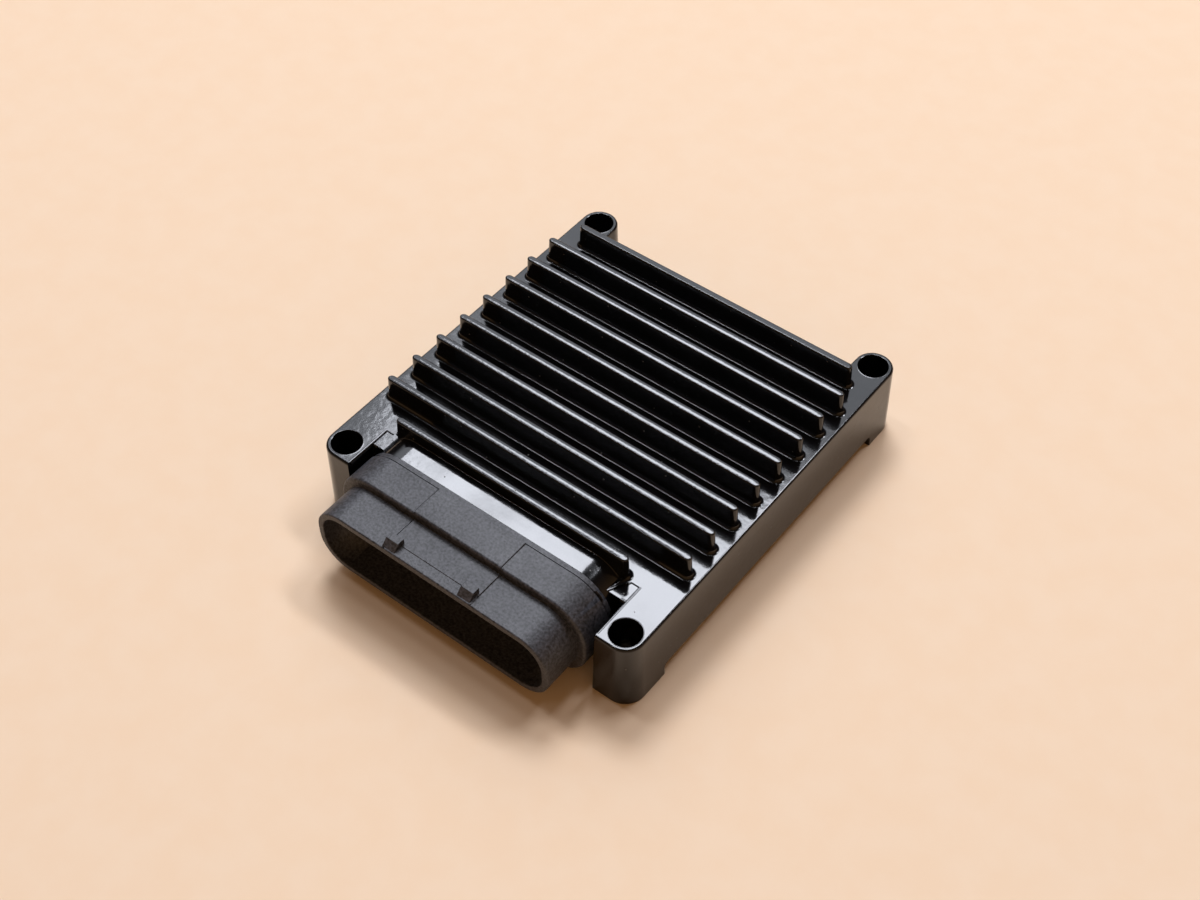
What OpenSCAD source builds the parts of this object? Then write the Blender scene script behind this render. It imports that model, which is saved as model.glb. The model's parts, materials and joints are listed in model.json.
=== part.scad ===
// Sealed engine control unit: a finned die-cast housing with four bolt ears, a moulded
// multi-way connector in its front end, a circuit board inside and a flat base cover.
// Origin: midway between the two rear bolt holes, on the mounting plane under the feet.
// X runs along the fins, Y points away from the connector, Z points up.

/* [Housing] */
// Distance between the bolt holes across the unit
hole_span = 80; // [79:0.5:83]
// Distance from the front wall to the left front bolt hole
left_ear_reach = 3.5; // [3:0.1:4.2]
// Distance from the front wall to the right front bolt hole
right_ear_reach = 6.2; // [5.6:0.1:6.8]
// Diameter of the bolt holes
bolt_hole_d = 7; // [6.6:0.1:7.2]
// Wall of metal left around a bolt hole
ear_wall = 1.1; // [1:0.1:1.4]
// Height of the top plate above the mounting plane
plate_z = 19; // [18.8:0.1:20]
// Thickness of the top plate
plate_t = 2.4; // [2.2:0.1:2.6]
// Rounding of the upper outer edges
edge_r = 0.6; // [0.3:0.1:0.8]
// How far the walls lean outwards from the top to the feet
side_spread = 0.4; // [0.2:0.1:0.6]
// Height of the feet below the side walls
foot_h = 3.4; // [3.2:0.1:3.6]
// Rounding between the feet and the side walls
foot_r = 1.2; // [0.8:0.1:1.6]
// Distance from the rear bolt holes to the rear wall
rear_setback = 5; // [4.8:0.1:5.4]
// Thickness of the side and rear walls
wall_t = 3.8; // [3.6:0.1:4.2]
// Depth of the two small ledges beside the collar
ledge_depth = 4.6; // [4.4:0.1:5]
// Drop from the top plate to the ledges
ledge_drop = 0.3; // [0.2:0.1:1.4]

/* [Fins] */
// Number of full fins behind the short one
fin_count = 9; // [8:1:10]
// Spacing of the fins
fin_pitch = 8.2; // [8.2:0.05:8.3]
// Distance from the rear bolt holes to the first fin
first_fin = 8.5; // [8.3:0.1:8.6]
// Height of the fins above the plate
fin_height = 6.1; // [5:0.1:7]
// Thickness of a fin at its top
fin_top = 1.8; // [1.5:0.1:2]
// Thickness of a fin at its foot
fin_foot = 2.3; // [2.1:0.1:2.5]
// Rounding of the fin tops
fin_top_r = 0.5; // [0.3:0.05:0.6]
// Fillet between a fin and the plate
fin_fillet = 0.9; // [0.6:0.1:1]
// Length of a full fin
fin_length = 84; // [80:0.5:84]
// Length of the rearmost fin
rear_fin_length = 77.8; // [74:0.2:78]
// Length of the short front fin
short_fin_length = 63.8; // [60:0.2:64]

/* [Connector] */
// Sideways offset of the connector from the middle
connector_x = -0.7; // [-0.8:0.1:0]
// Height of the connector axis above the mounting plane
connector_z = 11.4; // [11.4:0.1:11.6]
// Clearance between the flange and the nearer front ear
flange_gap = 0.6; // [0.5:0.1:1]
// Height of the flange
flange_h = 22; // [21.6:0.1:22.4]
// Corner radius of the flange
flange_r = 9.6; // [8:0.1:10]
// Depth of the flange
flange_t = 9.8; // [9:0.1:11]
// Margin by which the collar stays inside the flange
collar_margin = 0.5; // [0.3:0.1:0.8]
// Reach of the collar in front of the front wall
collar_reach = 1.6; // [1.2:0.1:2]
// Width of the shroud
shroud_w = 64.2; // [63:0.1:65]
// Height of the shroud
shroud_h = 17.8; // [17:0.1:18.4]
// Corner radius of the shroud
shroud_r = 7.6; // [6:0.1:8]
// Reach of the shroud in front of the flange
shroud_length = 9.8; // [9:0.1:12]
// Wall thickness of the shroud
shroud_wall = 1.6; // [1.4:0.1:1.8]
// Width of the raised middle panel
panel_w = 24; // [22:0.5:28]
// Height of the raised middle panel
panel_h = 0.3; // [0.2:0.05:0.4]
// Width of a latch ramp
latch_w = 3.4; // [3:0.1:4]
// Distance between the two latch ramps
latch_span = 20.7; // [18:0.1:22]
// Sideways offset of the latch ramps from the connector axis
latch_shift = -0.5; // [-0.6:0.1:0.6]
// Height of a latch ramp
latch_h = 1.7; // [1.2:0.1:1.8]
// Width of the plug that enters the housing
plug_w = 49.6; // [49:0.1:50]
// Height of the plug that enters the housing
plug_h = 12.2; // [11.8:0.1:12.4]

/* [Terminals] */
// Number of terminals in a row
columns = 12; // [10:1:12]
// Number of rows
rows = 3; // [2:1:3]
// Spacing of the terminals along a row
column_pitch = 4; // [3.6:0.1:4]
// Spacing of the rows
row_pitch = 3.3; // [3:0.1:3.3]
// Width of a square terminal
pin_w = 0.8; // [0.6:0.1:0.8]
// Reach of the terminals into the socket
pin_reach = 6; // [5:0.1:6.5]

/* [Board and cover] */
// Thickness of the circuit board
board_t = 1.6; // [1.4:0.1:1.6]
// Grid on which the parts are laid out on the board
board_grid = 1; // [0.9:0.05:1]
// Clearance between the board and the housing walls
board_gap = 0.9; // [0.8:0.1:1.2]
// Thickness of the base cover
cover_t = 1.6; // [1.4:0.1:1.7]
// Clearance around the base cover
cover_gap = 0.2; // [0.1:0.05:0.3]
// Thickness of the pressed gasket
gasket_t = 0.5; // [0.4:0.1:0.6]
// Thickness of the thermal pad
pad_t = 0.5; // [0.4:0.1:0.8]
// Radius of a screw shank
screw_r = 1.25; // [1.1:0.05:1.3]
// Clearance around a screw shank
screw_gap = 0.05; // [0.05:0.05:0.15]

/* [Hidden] */
$fn = 64;
hole_x = hole_span / 2;
ear_r = bolt_hole_d / 2 + ear_wall;
side_x = hole_x + ear_r;
notch_x = hole_x - ear_r;
ceiling_z = plate_z - plate_t;
ledge_z = plate_z - ledge_drop;
plate_front = first_fin + fin_count * fin_pitch + 0.5;
front_wall = plate_front + ledge_depth;
flange_back = front_wall + collar_reach;
flange_front = flange_back + flange_t;
shroud_front = flange_front + shroud_length;
left_hole_y = -front_wall - left_ear_reach;
right_hole_y = -front_wall - right_ear_reach;
rear_foot = rear_setback + 1;
front_foot = front_wall - 1;
web_front = flange_front - 3.8;
plug_end = plate_front + 0.4;
plug_r = 4.8;
plug_gap = 0.2;
flange_lip = 1.2;
seal_depth = 1.2;
flange_w = 2 * (notch_x - abs(connector_x) - flange_gap);
collar_w = flange_w - 2 * collar_margin;
collar_h = flange_h - 2 * collar_margin;
collar_r = flange_r - collar_margin;
rabbet_w = 2 * side_x - wall_t;
rabbet_r = 3;
rabbet_front = plate_front + 1.9;
rabbet_back = rear_setback + wall_t / 2;
cavity_x = side_x - wall_t;
cavity_back = rear_setback + wall_t;
cavity_mid = -(plate_front + cavity_back) / 2;
cavity_r = 2;
shoulder_z = foot_h + 0.7;
cover_top = shoulder_z - gasket_t;
cover_w = rabbet_w - 2 * cover_gap;
cover_l = rabbet_front - rabbet_back - 2 * cover_gap;
cover_mid = -(rabbet_front + rabbet_back) / 2;
cover_r = rabbet_r - cover_gap;
board_z = shoulder_z + 1.5;
board_top = board_z + board_t;
board_front = plate_front - board_gap;
board_back = cavity_back + board_gap;
board_mid = -(board_front + board_back) / 2;
board_x = cavity_x - board_gap;
post_r = 3.2;
head_r = 2.5;
head_h = 1.4;
hole_r = screw_r + screw_gap;
pass_r = screw_r + 0.35;
post_inset = 2.4;
cover_screw_x = cavity_x - post_inset;
cover_screw_y = [-plate_front + post_inset, cover_mid, -cavity_back - post_inset];
board_screw_x = 31;
board_screw_y = [-plate_front + 17, -cavity_back - 13];
header_screw_x = plug_w / 2 + 5.2;
row_z = board_top + 1.4;
tail_pitch = 2.8;
power_y = -cavity_back - 6.8 * board_grid;
power_h = 2.3 * board_grid;
boss_z = board_top + power_h + pad_t;

// Rounded rectangle centred on the origin
module rounded(w, h, r) {
    square([w - 2 * r, h], center = true);
    square([w, h - 2 * r], center = true);
    for (sx = [-1, 1], sy = [-1, 1]) {
        translate([sx * (w / 2 - r), sy * (h / 2 - r)]) circle(r);
    }
}

// Extrudes an X-Z outline from y = back towards the connector end
module along_y(back, length) {
    translate([0, back, 0]) rotate([90, 0, 0]) linear_extrude(length) children();
}

// Turns an outline of distance and height so that it is swept along -X and faces -Y
module along_x(length) {
    rotate([0, 0, -90]) rotate([90, 0, 0]) linear_extrude(length) children();
}

module at_connector() {
    translate([connector_x, 0, connector_z]) children();
}

module at_cover_screws() {
    for (x = [-cover_screw_x, cover_screw_x], y = cover_screw_y) {
        translate([x, y, 0]) children();
    }
}

module at_board_screws() {
    for (x = [-board_screw_x, board_screw_x], y = board_screw_y) {
        translate([x, y, 0]) children();
    }
}

module at_header_screws() {
    at_connector() for (x = [-header_screw_x, header_screw_x]) {
        translate([x, 0, 0]) rotate([90, 0, 0]) children();
    }
}

// Where the terminals of a row bend down to the board, and where each column stands
function bend_y(j) = -plate_front + 2.2 + tail_pitch * j;
function terminal_x(i) = connector_x + (i - (columns - 1) / 2) * column_pitch;

// Half outline of an ear wall: distance from the bolt axis against height
module ear_half() {
    polygon([[0, 0], [ear_r + side_spread, 0], [ear_r, plate_z - edge_r],
        [ear_r - edge_r, plate_z], [0, plate_z]]);
    translate([ear_r - edge_r, plate_z - edge_r]) circle(edge_r);
}

// Cross-section of the box with its leaning walls and rounded upper edges
module body_section() {
    for (s = [0, 1]) mirror([s, 0]) {
        polygon([[0, 0], [side_x + side_spread, 0], [side_x, plate_z - edge_r],
            [side_x - edge_r, plate_z], [0, plate_z]]);
        translate([side_x - edge_r, plate_z - edge_r]) circle(edge_r);
    }
}

module rear_ear() {
    rotate_extrude() ear_half();
    along_y(0, rear_setback + 0.5) {
        ear_half();
        mirror([1, 0]) ear_half();
    }
}

// Right-hand front ear: rounded outer corner, flat front, square corner at the notch
module front_ear(reach) {
    rotate([0, 0, -90]) rotate_extrude(angle = 90) ear_half();
    along_y(reach + 0.5, reach + 0.5) {
        ear_half();
        translate([-ear_r, 0]) square([ear_r, plate_z]);
    }
    along_x(ear_r) ear_half();
}

// Half outline of a fin with its rounded top and root fillet
module fin_half() {
    root = fin_foot / 2 + fin_fillet;
    polygon([[0, -1], [root, -1], [root, 0], [fin_foot / 2, 0], [fin_foot / 2, fin_fillet],
        [fin_top / 2, fin_height - fin_top_r], [fin_top / 2 - fin_top_r, fin_height], [0, fin_height]]);
    intersection() {
        translate([fin_top / 2 - fin_top_r, fin_height - fin_top_r]) circle(fin_top_r);
        square([fin_top, fin_height]);
    }
    difference() {
        translate([fin_foot / 2, 0]) square(fin_fillet);
        translate([root, fin_fillet]) circle(fin_fillet);
    }
}

// A fin with rounded ends, its fillet running all the way round
module fin(length) {
    reach = length / 2 - fin_top / 2;
    translate([reach, 0, 0]) along_x(2 * reach) {
        fin_half();
        mirror([1, 0]) fin_half();
    }
    translate([reach, 0, 0]) rotate([0, 0, -90]) rotate_extrude(angle = 180) fin_half();
    translate([-reach, 0, 0]) rotate([0, 0, 90]) rotate_extrude(angle = 180) fin_half();
}

module fins() {
    translate([0, -first_fin, plate_z]) fin(rear_fin_length);
    for (i = [1 : fin_count - 1]) {
        translate([0, -first_fin - i * fin_pitch, plate_z]) fin(fin_length);
    }
    translate([0, -first_fin - fin_count * fin_pitch, plate_z]) fin(short_fin_length);
}

// Oval saddle that carries the connector flange
module collar() {
    at_connector() along_y(-front_wall + 1.8, collar_reach + 1.8) rounded(collar_w, collar_h, collar_r);
    intersection() {
        at_connector() along_y(-plate_front + 0.5, flange_back - plate_front + 0.5) {
            rounded(collar_w, collar_h, collar_r);
        }
        translate([-side_x, -flange_back, ceiling_z]) cube([2 * side_x, flange_back, plate_z]);
    }
}

// Space under the box: between the feet along each side, and between the two sides
module under_gap() {
    translate([side_x + 1, 0, 0]) along_x(2 * side_x + 2) {
        translate([rear_foot, -1]) square([front_foot - rear_foot, foot_h + 1 - foot_r]);
        translate([rear_foot + foot_r, -1]) square([front_foot - rear_foot - 2 * foot_r, foot_h + 1]);
        for (d = [rear_foot + foot_r, front_foot - foot_r]) {
            translate([d, foot_h - foot_r]) circle(foot_r);
        }
    }
    translate([-notch_x, -flange_back, -1]) cube([2 * notch_x, flange_back, foot_h + 1]);
}

module box_and_ears() {
    difference() {
        along_y(-rear_setback, front_wall - rear_setback) body_section();
        translate([-notch_x, -front_wall - 1, ledge_z]) cube([2 * notch_x, ledge_depth + 1, plate_z]);
        under_gap();
    }
    for (x = [-hole_x, hole_x]) {
        translate([x, 0, 0]) rear_ear();
    }
    translate([hole_x, right_hole_y, 0]) front_ear(right_ear_reach);
    mirror([1, 0, 0]) translate([hole_x, left_hole_y, 0]) front_ear(left_ear_reach);
}

module cavity_outline() {
    translate([0, cavity_mid]) rounded(2 * cavity_x, plate_front - cavity_back, cavity_r);
}

module cover_outline() {
    translate([0, cover_mid]) rounded(cover_w, cover_l, cover_r);
}

// Room for the board and the seat of the base cover
module hollow() {
    translate([0, 0, shoulder_z - 0.2]) linear_extrude(ceiling_z - shoulder_z + 0.2) cavity_outline();
    translate([0, cover_mid, -1]) linear_extrude(shoulder_z + 1) {
        rounded(rabbet_w, rabbet_front - rabbet_back, rabbet_r);
    }
}

// Screw posts and the block that draws heat from the power parts, all hanging from the plate
module inner_posts() {
    at_cover_screws() translate([0, 0, shoulder_z]) cylinder(h = plate_z - shoulder_z - 1, r = post_r);
    at_board_screws() translate([0, 0, board_top]) cylinder(h = plate_z - board_top - 1, r = post_r);
    translate([-27 * board_grid, power_y - 4.5 * board_grid, boss_z]) {
        cube([54 * board_grid, 9 * board_grid, plate_z - boss_z - 1]);
    }
}

module bolt_hole() {
    translate([0, 0, -1]) cylinder(h = plate_z + 2, d = bolt_hole_d);
    translate([0, 0, plate_z - 0.4]) cylinder(h = 0.5, d1 = bolt_hole_d, d2 = bolt_hole_d + 1);
}

module housing() {
    color("#17181a") difference() {
        union() {
            difference() {
                union() {
                    box_and_ears();
                    fins();
                    collar();
                }
                hollow();
            }
            inner_posts();
        }
        for (x = [-hole_x, hole_x]) {
            translate([x, 0, 0]) bolt_hole();
        }
        translate([hole_x, right_hole_y, 0]) bolt_hole();
        translate([-hole_x, left_hole_y, 0]) bolt_hole();
        at_connector() along_y(-plate_front + 1, flange_back - plate_front + 2) {
            rounded(plug_w + 2 * plug_gap, plug_h + 2 * plug_gap, plug_r + plug_gap);
        }
        at_cover_screws() translate([0, 0, shoulder_z - 1]) cylinder(h = 10, r = hole_r);
        at_board_screws() translate([0, 0, board_top - 1]) cylinder(h = 7, r = hole_r);
        at_header_screws() translate([0, 0, plate_front - 1]) cylinder(h = 12, r = hole_r);
    }
}

module base_cover() {
    color("#9a9ca0") difference() {
        translate([0, 0, cover_top - cover_t]) linear_extrude(cover_t) cover_outline();
        at_cover_screws() cylinder(h = plate_z, r = pass_r);
    }
}

module cover_gasket() {
    color("#7c3b34") translate([0, 0, cover_top]) linear_extrude(gasket_t) difference() {
        union() {
            difference() {
                cover_outline();
                cavity_outline();
            }
            intersection() {
                at_cover_screws() circle(post_r);
                cover_outline();
            }
        }
        at_cover_screws() circle(pass_r);
    }
}

// Screw with its head below z = 0 and its shank above
module screw(length) {
    difference() {
        translate([0, 0, -head_h]) cylinder(h = head_h, r = head_r);
        translate([0, 0, -head_h - 1]) cylinder(h = 1.8, r = 1.2, $fn = 6);
    }
    cylinder(h = length, r = screw_r);
}

module cover_screws() {
    color("#8d9094") at_cover_screws() translate([0, 0, cover_top - cover_t]) screw(cover_t + 8);
}

module latch_ramp() {
    tip = shroud_front - 0.3;
    heel = shroud_front - 3.7;
    root = -shroud_wall / 2;
    along_x(latch_w) polygon([[tip, 0], [heel + 0.7, latch_h], [heel, latch_h], [heel, root], [tip, root]]);
}

module connector_body() {
    at_connector() {
        along_y(-flange_back - flange_lip, flange_t - flange_lip) rounded(flange_w, flange_h, flange_r);
        along_y(-flange_back, 1.3) rounded(flange_w - 0.6, flange_h - 0.6, flange_r - 0.3);
        along_y(-flange_front + 1, shroud_length + 1) rounded(shroud_w, shroud_h, shroud_r);
        along_y(-plug_end, flange_back - plug_end + 1) rounded(plug_w, plug_h, plug_r);
        translate([-panel_w / 2, -flange_front, flange_h / 2 - 1]) {
            cube([panel_w, flange_t - flange_lip, 1 + panel_h]);
        }
        translate([-panel_w / 2, -shroud_front + 2.8, shroud_h / 2 - 1]) {
            cube([panel_w, shroud_length - 2.3, 1 + panel_h]);
        }
        translate([-panel_w / 2, -shroud_front, shroud_h / 2 - 1]) cube([panel_w, 3, 1 + panel_h / 2]);
        for (x = [-latch_span / 2, latch_span / 2]) {
            translate([latch_shift + x + latch_w / 2, 0, shroud_h / 2]) latch_ramp();
        }
    }
}

module connector_header() {
    color("#2b2c2f") difference() {
        connector_body();
        at_connector() along_y(-web_front, shroud_front) {
            rounded(shroud_w - 2 * shroud_wall, shroud_h - 2 * shroud_wall, shroud_r - shroud_wall);
        }
        at_connector() along_y(-flange_back, seal_depth) seal_outline();
        for (i = [0 : columns - 1], j = [0 : rows - 1]) {
            translate([terminal_x(i) - pin_w / 2, -shroud_front, row_z + j * row_pitch - pin_w / 2]) {
                cube([pin_w, shroud_front, pin_w]);
            }
        }
        at_header_screws() translate([0, 0, flange_back - 1]) cylinder(h = 7, r = hole_r);
    }
}

module seal_outline() {
    difference() {
        rounded(plug_w + 6.6, plug_h + 6.6, 8);
        rounded(plug_w + 2.4, plug_h + 2.4, 6);
    }
}

module connector_seal() {
    color("#a8552f") at_connector() along_y(-flange_back, seal_depth) seal_outline();
}

module header_screws() {
    color("#8d9094") at_header_screws() translate([0, 0, plate_front]) screw(11.5);
}

module terminal_pins() {
    color("#c9b37a") for (i = [0 : columns - 1], j = [0 : rows - 1]) {
        translate([terminal_x(i) + pin_w / 2, 0, 0]) along_x(pin_w) {
            translate([-bend_y(j), row_z + j * row_pitch - pin_w / 2]) {
                square([web_front + pin_reach + bend_y(j), pin_w]);
            }
            translate([-bend_y(j) - pin_w, board_z - 0.8]) {
                square([pin_w, row_z + j * row_pitch + pin_w / 2 - board_z + 0.8]);
            }
        }
    }
}

// Thin plate on the board that keeps the terminal tails in line
module pin_aligner() {
    width = (columns - 1) * column_pitch + 4;
    color("#35373b") difference() {
        translate([connector_x - width / 2, bend_y(0) - 1.1, board_top]) {
            cube([width, tail_pitch * (rows - 1) + 3, 0.8]);
        }
        tail_holes(pin_w);
    }
}

module tail_holes(size) {
    for (i = [0 : columns - 1], j = [0 : rows - 1]) {
        translate([terminal_x(i) - size / 2, bend_y(j) + pin_w / 2 - size / 2, board_z - 1]) {
            cube([size, size, 6]);
        }
    }
}

module circuit_board() {
    color("#1f5a3a") difference() {
        translate([0, board_mid, board_z]) {
            linear_extrude(board_t) rounded(2 * board_x, board_front - board_back, 2);
        }
        at_cover_screws() cylinder(h = plate_z, r = post_r + 0.5);
        at_board_screws() cylinder(h = plate_z, r = pass_r);
        tail_holes(pin_w + 0.1);
    }
}

module board_screws() {
    color("#8d9094") at_board_screws() translate([0, 0, board_z]) screw(board_t + 5);
}

// Moulded chip package resting on the board, its place and size counted in steps of the layout grid
module package(x, y, w, l, h, mid = board_mid) {
    translate([0, mid, board_top]) {
        translate([x - w / 2, y - l / 2, 0] * board_grid) cube([w, l, h] * board_grid);
    }
}

// Upright part of any outline, placed the same way
module on_board(x, y, h) {
    translate([x * board_grid, board_mid + y * board_grid, board_top]) linear_extrude(h * board_grid) {
        children();
    }
}

module processor() {
    color("#232427") package(0, 0, 14, 14, 1.5);
}

module processor_leads() {
    color("#b9bcc0") for (turn = [0 : 3], i = [0 : 11]) {
        translate([0, board_mid, board_top]) rotate([0, 0, 90 * turn]) {
            translate([i - 5.7, 7, 0] * board_grid) cube([0.4, 1.1, 0.3] * board_grid);
        }
    }
}

module memory_chip() {
    color("#26272a") package(16, -6, 5, 4, 1.5);
}

module bus_transceiver() {
    color("#26272a") package(-18, -16, 5, 4, 1.5);
}

module signal_conditioner() {
    color("#26272a") package(20, 4, 4, 10, 1.7);
}

module crystal() {
    color("#c4c6c8") on_board(-15, -2, 3.2) rounded(4.6 * board_grid, 11 * board_grid, 2.2 * board_grid);
}

module electrolytic_capacitors() {
    color("#3a4a6b") for (step = [-1 : 1]) {
        on_board(-30, 2 + 10 * step, 7.5) circle(4 * board_grid);
    }
}

module power_inductor() {
    color("#3c3d40") on_board(28, 10, 5) rounded(10 * board_grid, 10 * board_grid, 2.5 * board_grid);
}

module clamp_diode() {
    color("#26272a") package(-22, 18, 7, 6, 2.4);
}

module power_transistors() {
    color("#232427") for (i = [0 : 3]) {
        package(-21.5 + 8.4 * i, 0, 6.5, 7, 2.3, power_y);
    }
}

module voltage_regulator() {
    color("#232427") package(15, 0, 10, 8, 2.3, power_y);
}

module thermal_pad() {
    color("#8fa3b5") translate([-26 * board_grid, power_y - 4.2 * board_grid, board_top + power_h]) {
        cube([52 * board_grid, 8.4 * board_grid, pad_t]);
    }
}

module chip_capacitors() {
    color("#a58a63") for (i = [0 : 5], y = [-14, 13]) {
        package(-10 + 4 * i, y, 2, 1.3, 1.2);
    }
}

module chip_resistors() {
    color("#1c1d1f") for (i = [0 : 7], y = [-20, 18]) {
        package(-14 + 4 * i, y, 2, 1.3, 0.5);
    }
}

housing();
base_cover();
cover_gasket();
cover_screws();
connector_header();
connector_seal();
header_screws();
terminal_pins();
pin_aligner();
circuit_board();
board_screws();
processor();
processor_leads();
memory_chip();
bus_transceiver();
signal_conditioner();
crystal();
electrolytic_capacitors();
power_inductor();
clamp_diode();
power_transistors();
voltage_regulator();
thermal_pad();
chip_capacitors();
chip_resistors();
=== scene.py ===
import json
import math
import bpy
from mathutils import Euler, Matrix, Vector

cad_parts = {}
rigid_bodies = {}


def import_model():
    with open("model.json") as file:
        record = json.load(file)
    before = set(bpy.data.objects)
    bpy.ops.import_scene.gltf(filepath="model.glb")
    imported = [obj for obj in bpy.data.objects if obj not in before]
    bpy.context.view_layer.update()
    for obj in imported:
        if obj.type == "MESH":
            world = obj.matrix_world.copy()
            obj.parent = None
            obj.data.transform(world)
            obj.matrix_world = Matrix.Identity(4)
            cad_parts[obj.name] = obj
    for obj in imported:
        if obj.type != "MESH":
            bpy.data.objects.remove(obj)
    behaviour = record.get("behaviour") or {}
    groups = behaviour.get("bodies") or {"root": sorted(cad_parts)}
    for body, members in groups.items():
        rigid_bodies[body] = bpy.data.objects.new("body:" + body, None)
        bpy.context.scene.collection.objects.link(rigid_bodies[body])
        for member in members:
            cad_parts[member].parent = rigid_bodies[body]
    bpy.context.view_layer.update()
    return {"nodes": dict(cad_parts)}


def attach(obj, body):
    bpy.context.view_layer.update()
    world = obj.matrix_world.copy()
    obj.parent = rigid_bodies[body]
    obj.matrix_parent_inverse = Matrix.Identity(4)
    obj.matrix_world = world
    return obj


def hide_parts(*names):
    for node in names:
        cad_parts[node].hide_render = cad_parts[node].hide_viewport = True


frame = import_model()

# Housing: one aluminium die casting with ten cooling fins, four bolt ears and an oval collar for the
# connector. It is sprayed gloss black, and the paint rounds every edge and shows a light orange peel.
# Lengths are in millimetres here, and mm turns them into Blender's metres.
mm = 0.001
side_x, notch_x, lean = 44.6, 35.4, 0.4
plate_z, foot_h, foot_r = 19.0, 3.4, 1.2
rear_wall, front_wall, plate_front = -5.0, -87.4, -82.8
hole_x, hole_r, ear_r = 40.0, 3.5, 4.6
bolt_holes = [(-hole_x, 0.0), (hole_x, 0.0), (-hole_x, -90.9), (hole_x, -93.6)]
connector_x, connector_z = -0.7, 11.4
collar_w, collar_h, collar_r, collar_front = 67.2, 21.0, 9.1, -89.0
fin_top_z, fin_top, fin_foot = 25.1, 1.8, 2.3
fin_rows = [(-8.5, 77.8)] + [(-8.5 - 8.2 * i, 84.0) for i in range(1, 9)] + [(-82.3, 63.8)]
ceiling_z, shoulder_z, board_top = 16.6, 4.1, 7.2
cover_screws = [(x, y) for x in (-38.4, 38.4) for y in (-80.4, -45.8, -11.2)]
board_screws = [(x, y) for x in (-31.0, 31.0) for y in (-65.8, -21.8)]
screw_hole_r, post_r = 1.3, 3.2


def block(low, high):
    """Adds a box between two corners and leaves its place in the mesh."""
    bpy.ops.object.select_all(action="DESELECT")
    bpy.ops.mesh.primitive_cube_add(
        size=1,
        location=[(a + b) / 2 * mm for a, b in zip(low, high)],
        scale=[(b - a) * mm for a, b in zip(low, high)])
    bpy.ops.object.transform_apply(location=True, rotation=True, scale=True)
    return bpy.context.object


def rod(centre, radius, low, high, along="Z", sides=64):
    """Adds a round bar between two distances along an axis, with the other two coordinates given."""
    middle, turn = {
        "Z": ((*centre, (low + high) / 2), (0, 0, 0)),
        "X": (((low + high) / 2, *centre), (0, math.radians(90), 0)),
        "Y": ((centre[0], (low + high) / 2, centre[1]), (math.radians(90), 0, 0))}[along]
    bpy.ops.object.select_all(action="DESELECT")
    bpy.ops.mesh.primitive_cylinder_add(
        vertices=sides, radius=radius * mm, depth=(high - low) * mm,
        location=[m * mm for m in middle], rotation=turn)
    bpy.ops.object.transform_apply(location=True, rotation=True, scale=True)
    return bpy.context.object


def pick(piece, test):
    """Selects the edges whose two ends, in millimetres, pass a test."""
    mesh = piece.data
    for part in (mesh.vertices, mesh.edges, mesh.polygons):
        part.foreach_set("select", [False] * len(part))
    for edge in mesh.edges:
        ends = [mesh.vertices[i] for i in edge.vertices]
        edge.select = bool(test(*(v.co / mm for v in ends)))
        for v in ends if edge.select else ():
            v.select = True
    bpy.ops.object.select_all(action="DESELECT")
    piece.select_set(True)
    bpy.context.view_layer.objects.active = piece
    bpy.context.tool_settings.mesh_select_mode = (False, True, False)


def round_edges(piece, radius, segments, test):
    """Rounds the edges that pass a test."""
    pick(piece, test)
    bpy.ops.object.mode_set(mode="EDIT")
    bpy.ops.mesh.bevel(offset=radius * mm, segments=segments, affect="EDGES", clamp_overlap=False)
    bpy.ops.mesh.select_all(action="SELECT")
    bpy.ops.mesh.remove_doubles(threshold=0.002 * mm)
    bpy.ops.object.mode_set(mode="OBJECT")
    return piece


def spread(piece, test, scale, centre):
    """Scales the edges that pass a test about a point, to lean or taper the walls above them."""
    pick(piece, test)
    bpy.ops.object.mode_set(mode="EDIT")
    bpy.ops.transform.resize(value=scale, center_override=[c * mm for c in centre])
    bpy.ops.object.mode_set(mode="OBJECT")


def score(piece, cuts):
    """Cuts the faces of a piece along planes, each given by a point and the direction across it."""
    pick(piece, lambda a, b: False)
    bpy.ops.object.mode_set(mode="EDIT")
    for spot, across in cuts:
        bpy.ops.mesh.select_all(action="SELECT")
        bpy.ops.mesh.bisect(plane_co=[c * mm for c in spot], plane_no=across)
    bpy.ops.object.mode_set(mode="OBJECT")


def combine(piece, others, operation):
    """Joins the other blocks into one and adds it to the piece or cuts it away."""
    bpy.ops.object.select_all(action="DESELECT")
    for other in others:
        other.select_set(True)
    bpy.context.view_layer.objects.active = others[0]
    bpy.ops.object.join()
    bpy.context.view_layer.objects.active = piece
    step = piece.modifiers.new("step", "BOOLEAN")
    step.operation = operation
    step.object = others[0]
    step.solver = "EXACT"
    bpy.ops.object.modifier_apply(modifier="step")
    bpy.data.objects.remove(others[0])


def upright(a, b):
    """Is the edge straight up?"""
    return math.hypot(a.x - b.x, a.y - b.y) < 0.01


def along_x(a, b):
    """Does the edge run along X?"""
    return abs(a.x - b.x) > 1 and abs(a.y - b.y) < 0.01


def along_y(a, b):
    """Does the edge run along Y?"""
    return abs(a.y - b.y) > 1 and abs(a.x - b.x) < 0.01


def at_floor(a, b):
    """Does the edge lie on the mounting plane?"""
    return max(a.z, b.z) < 0.01


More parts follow.
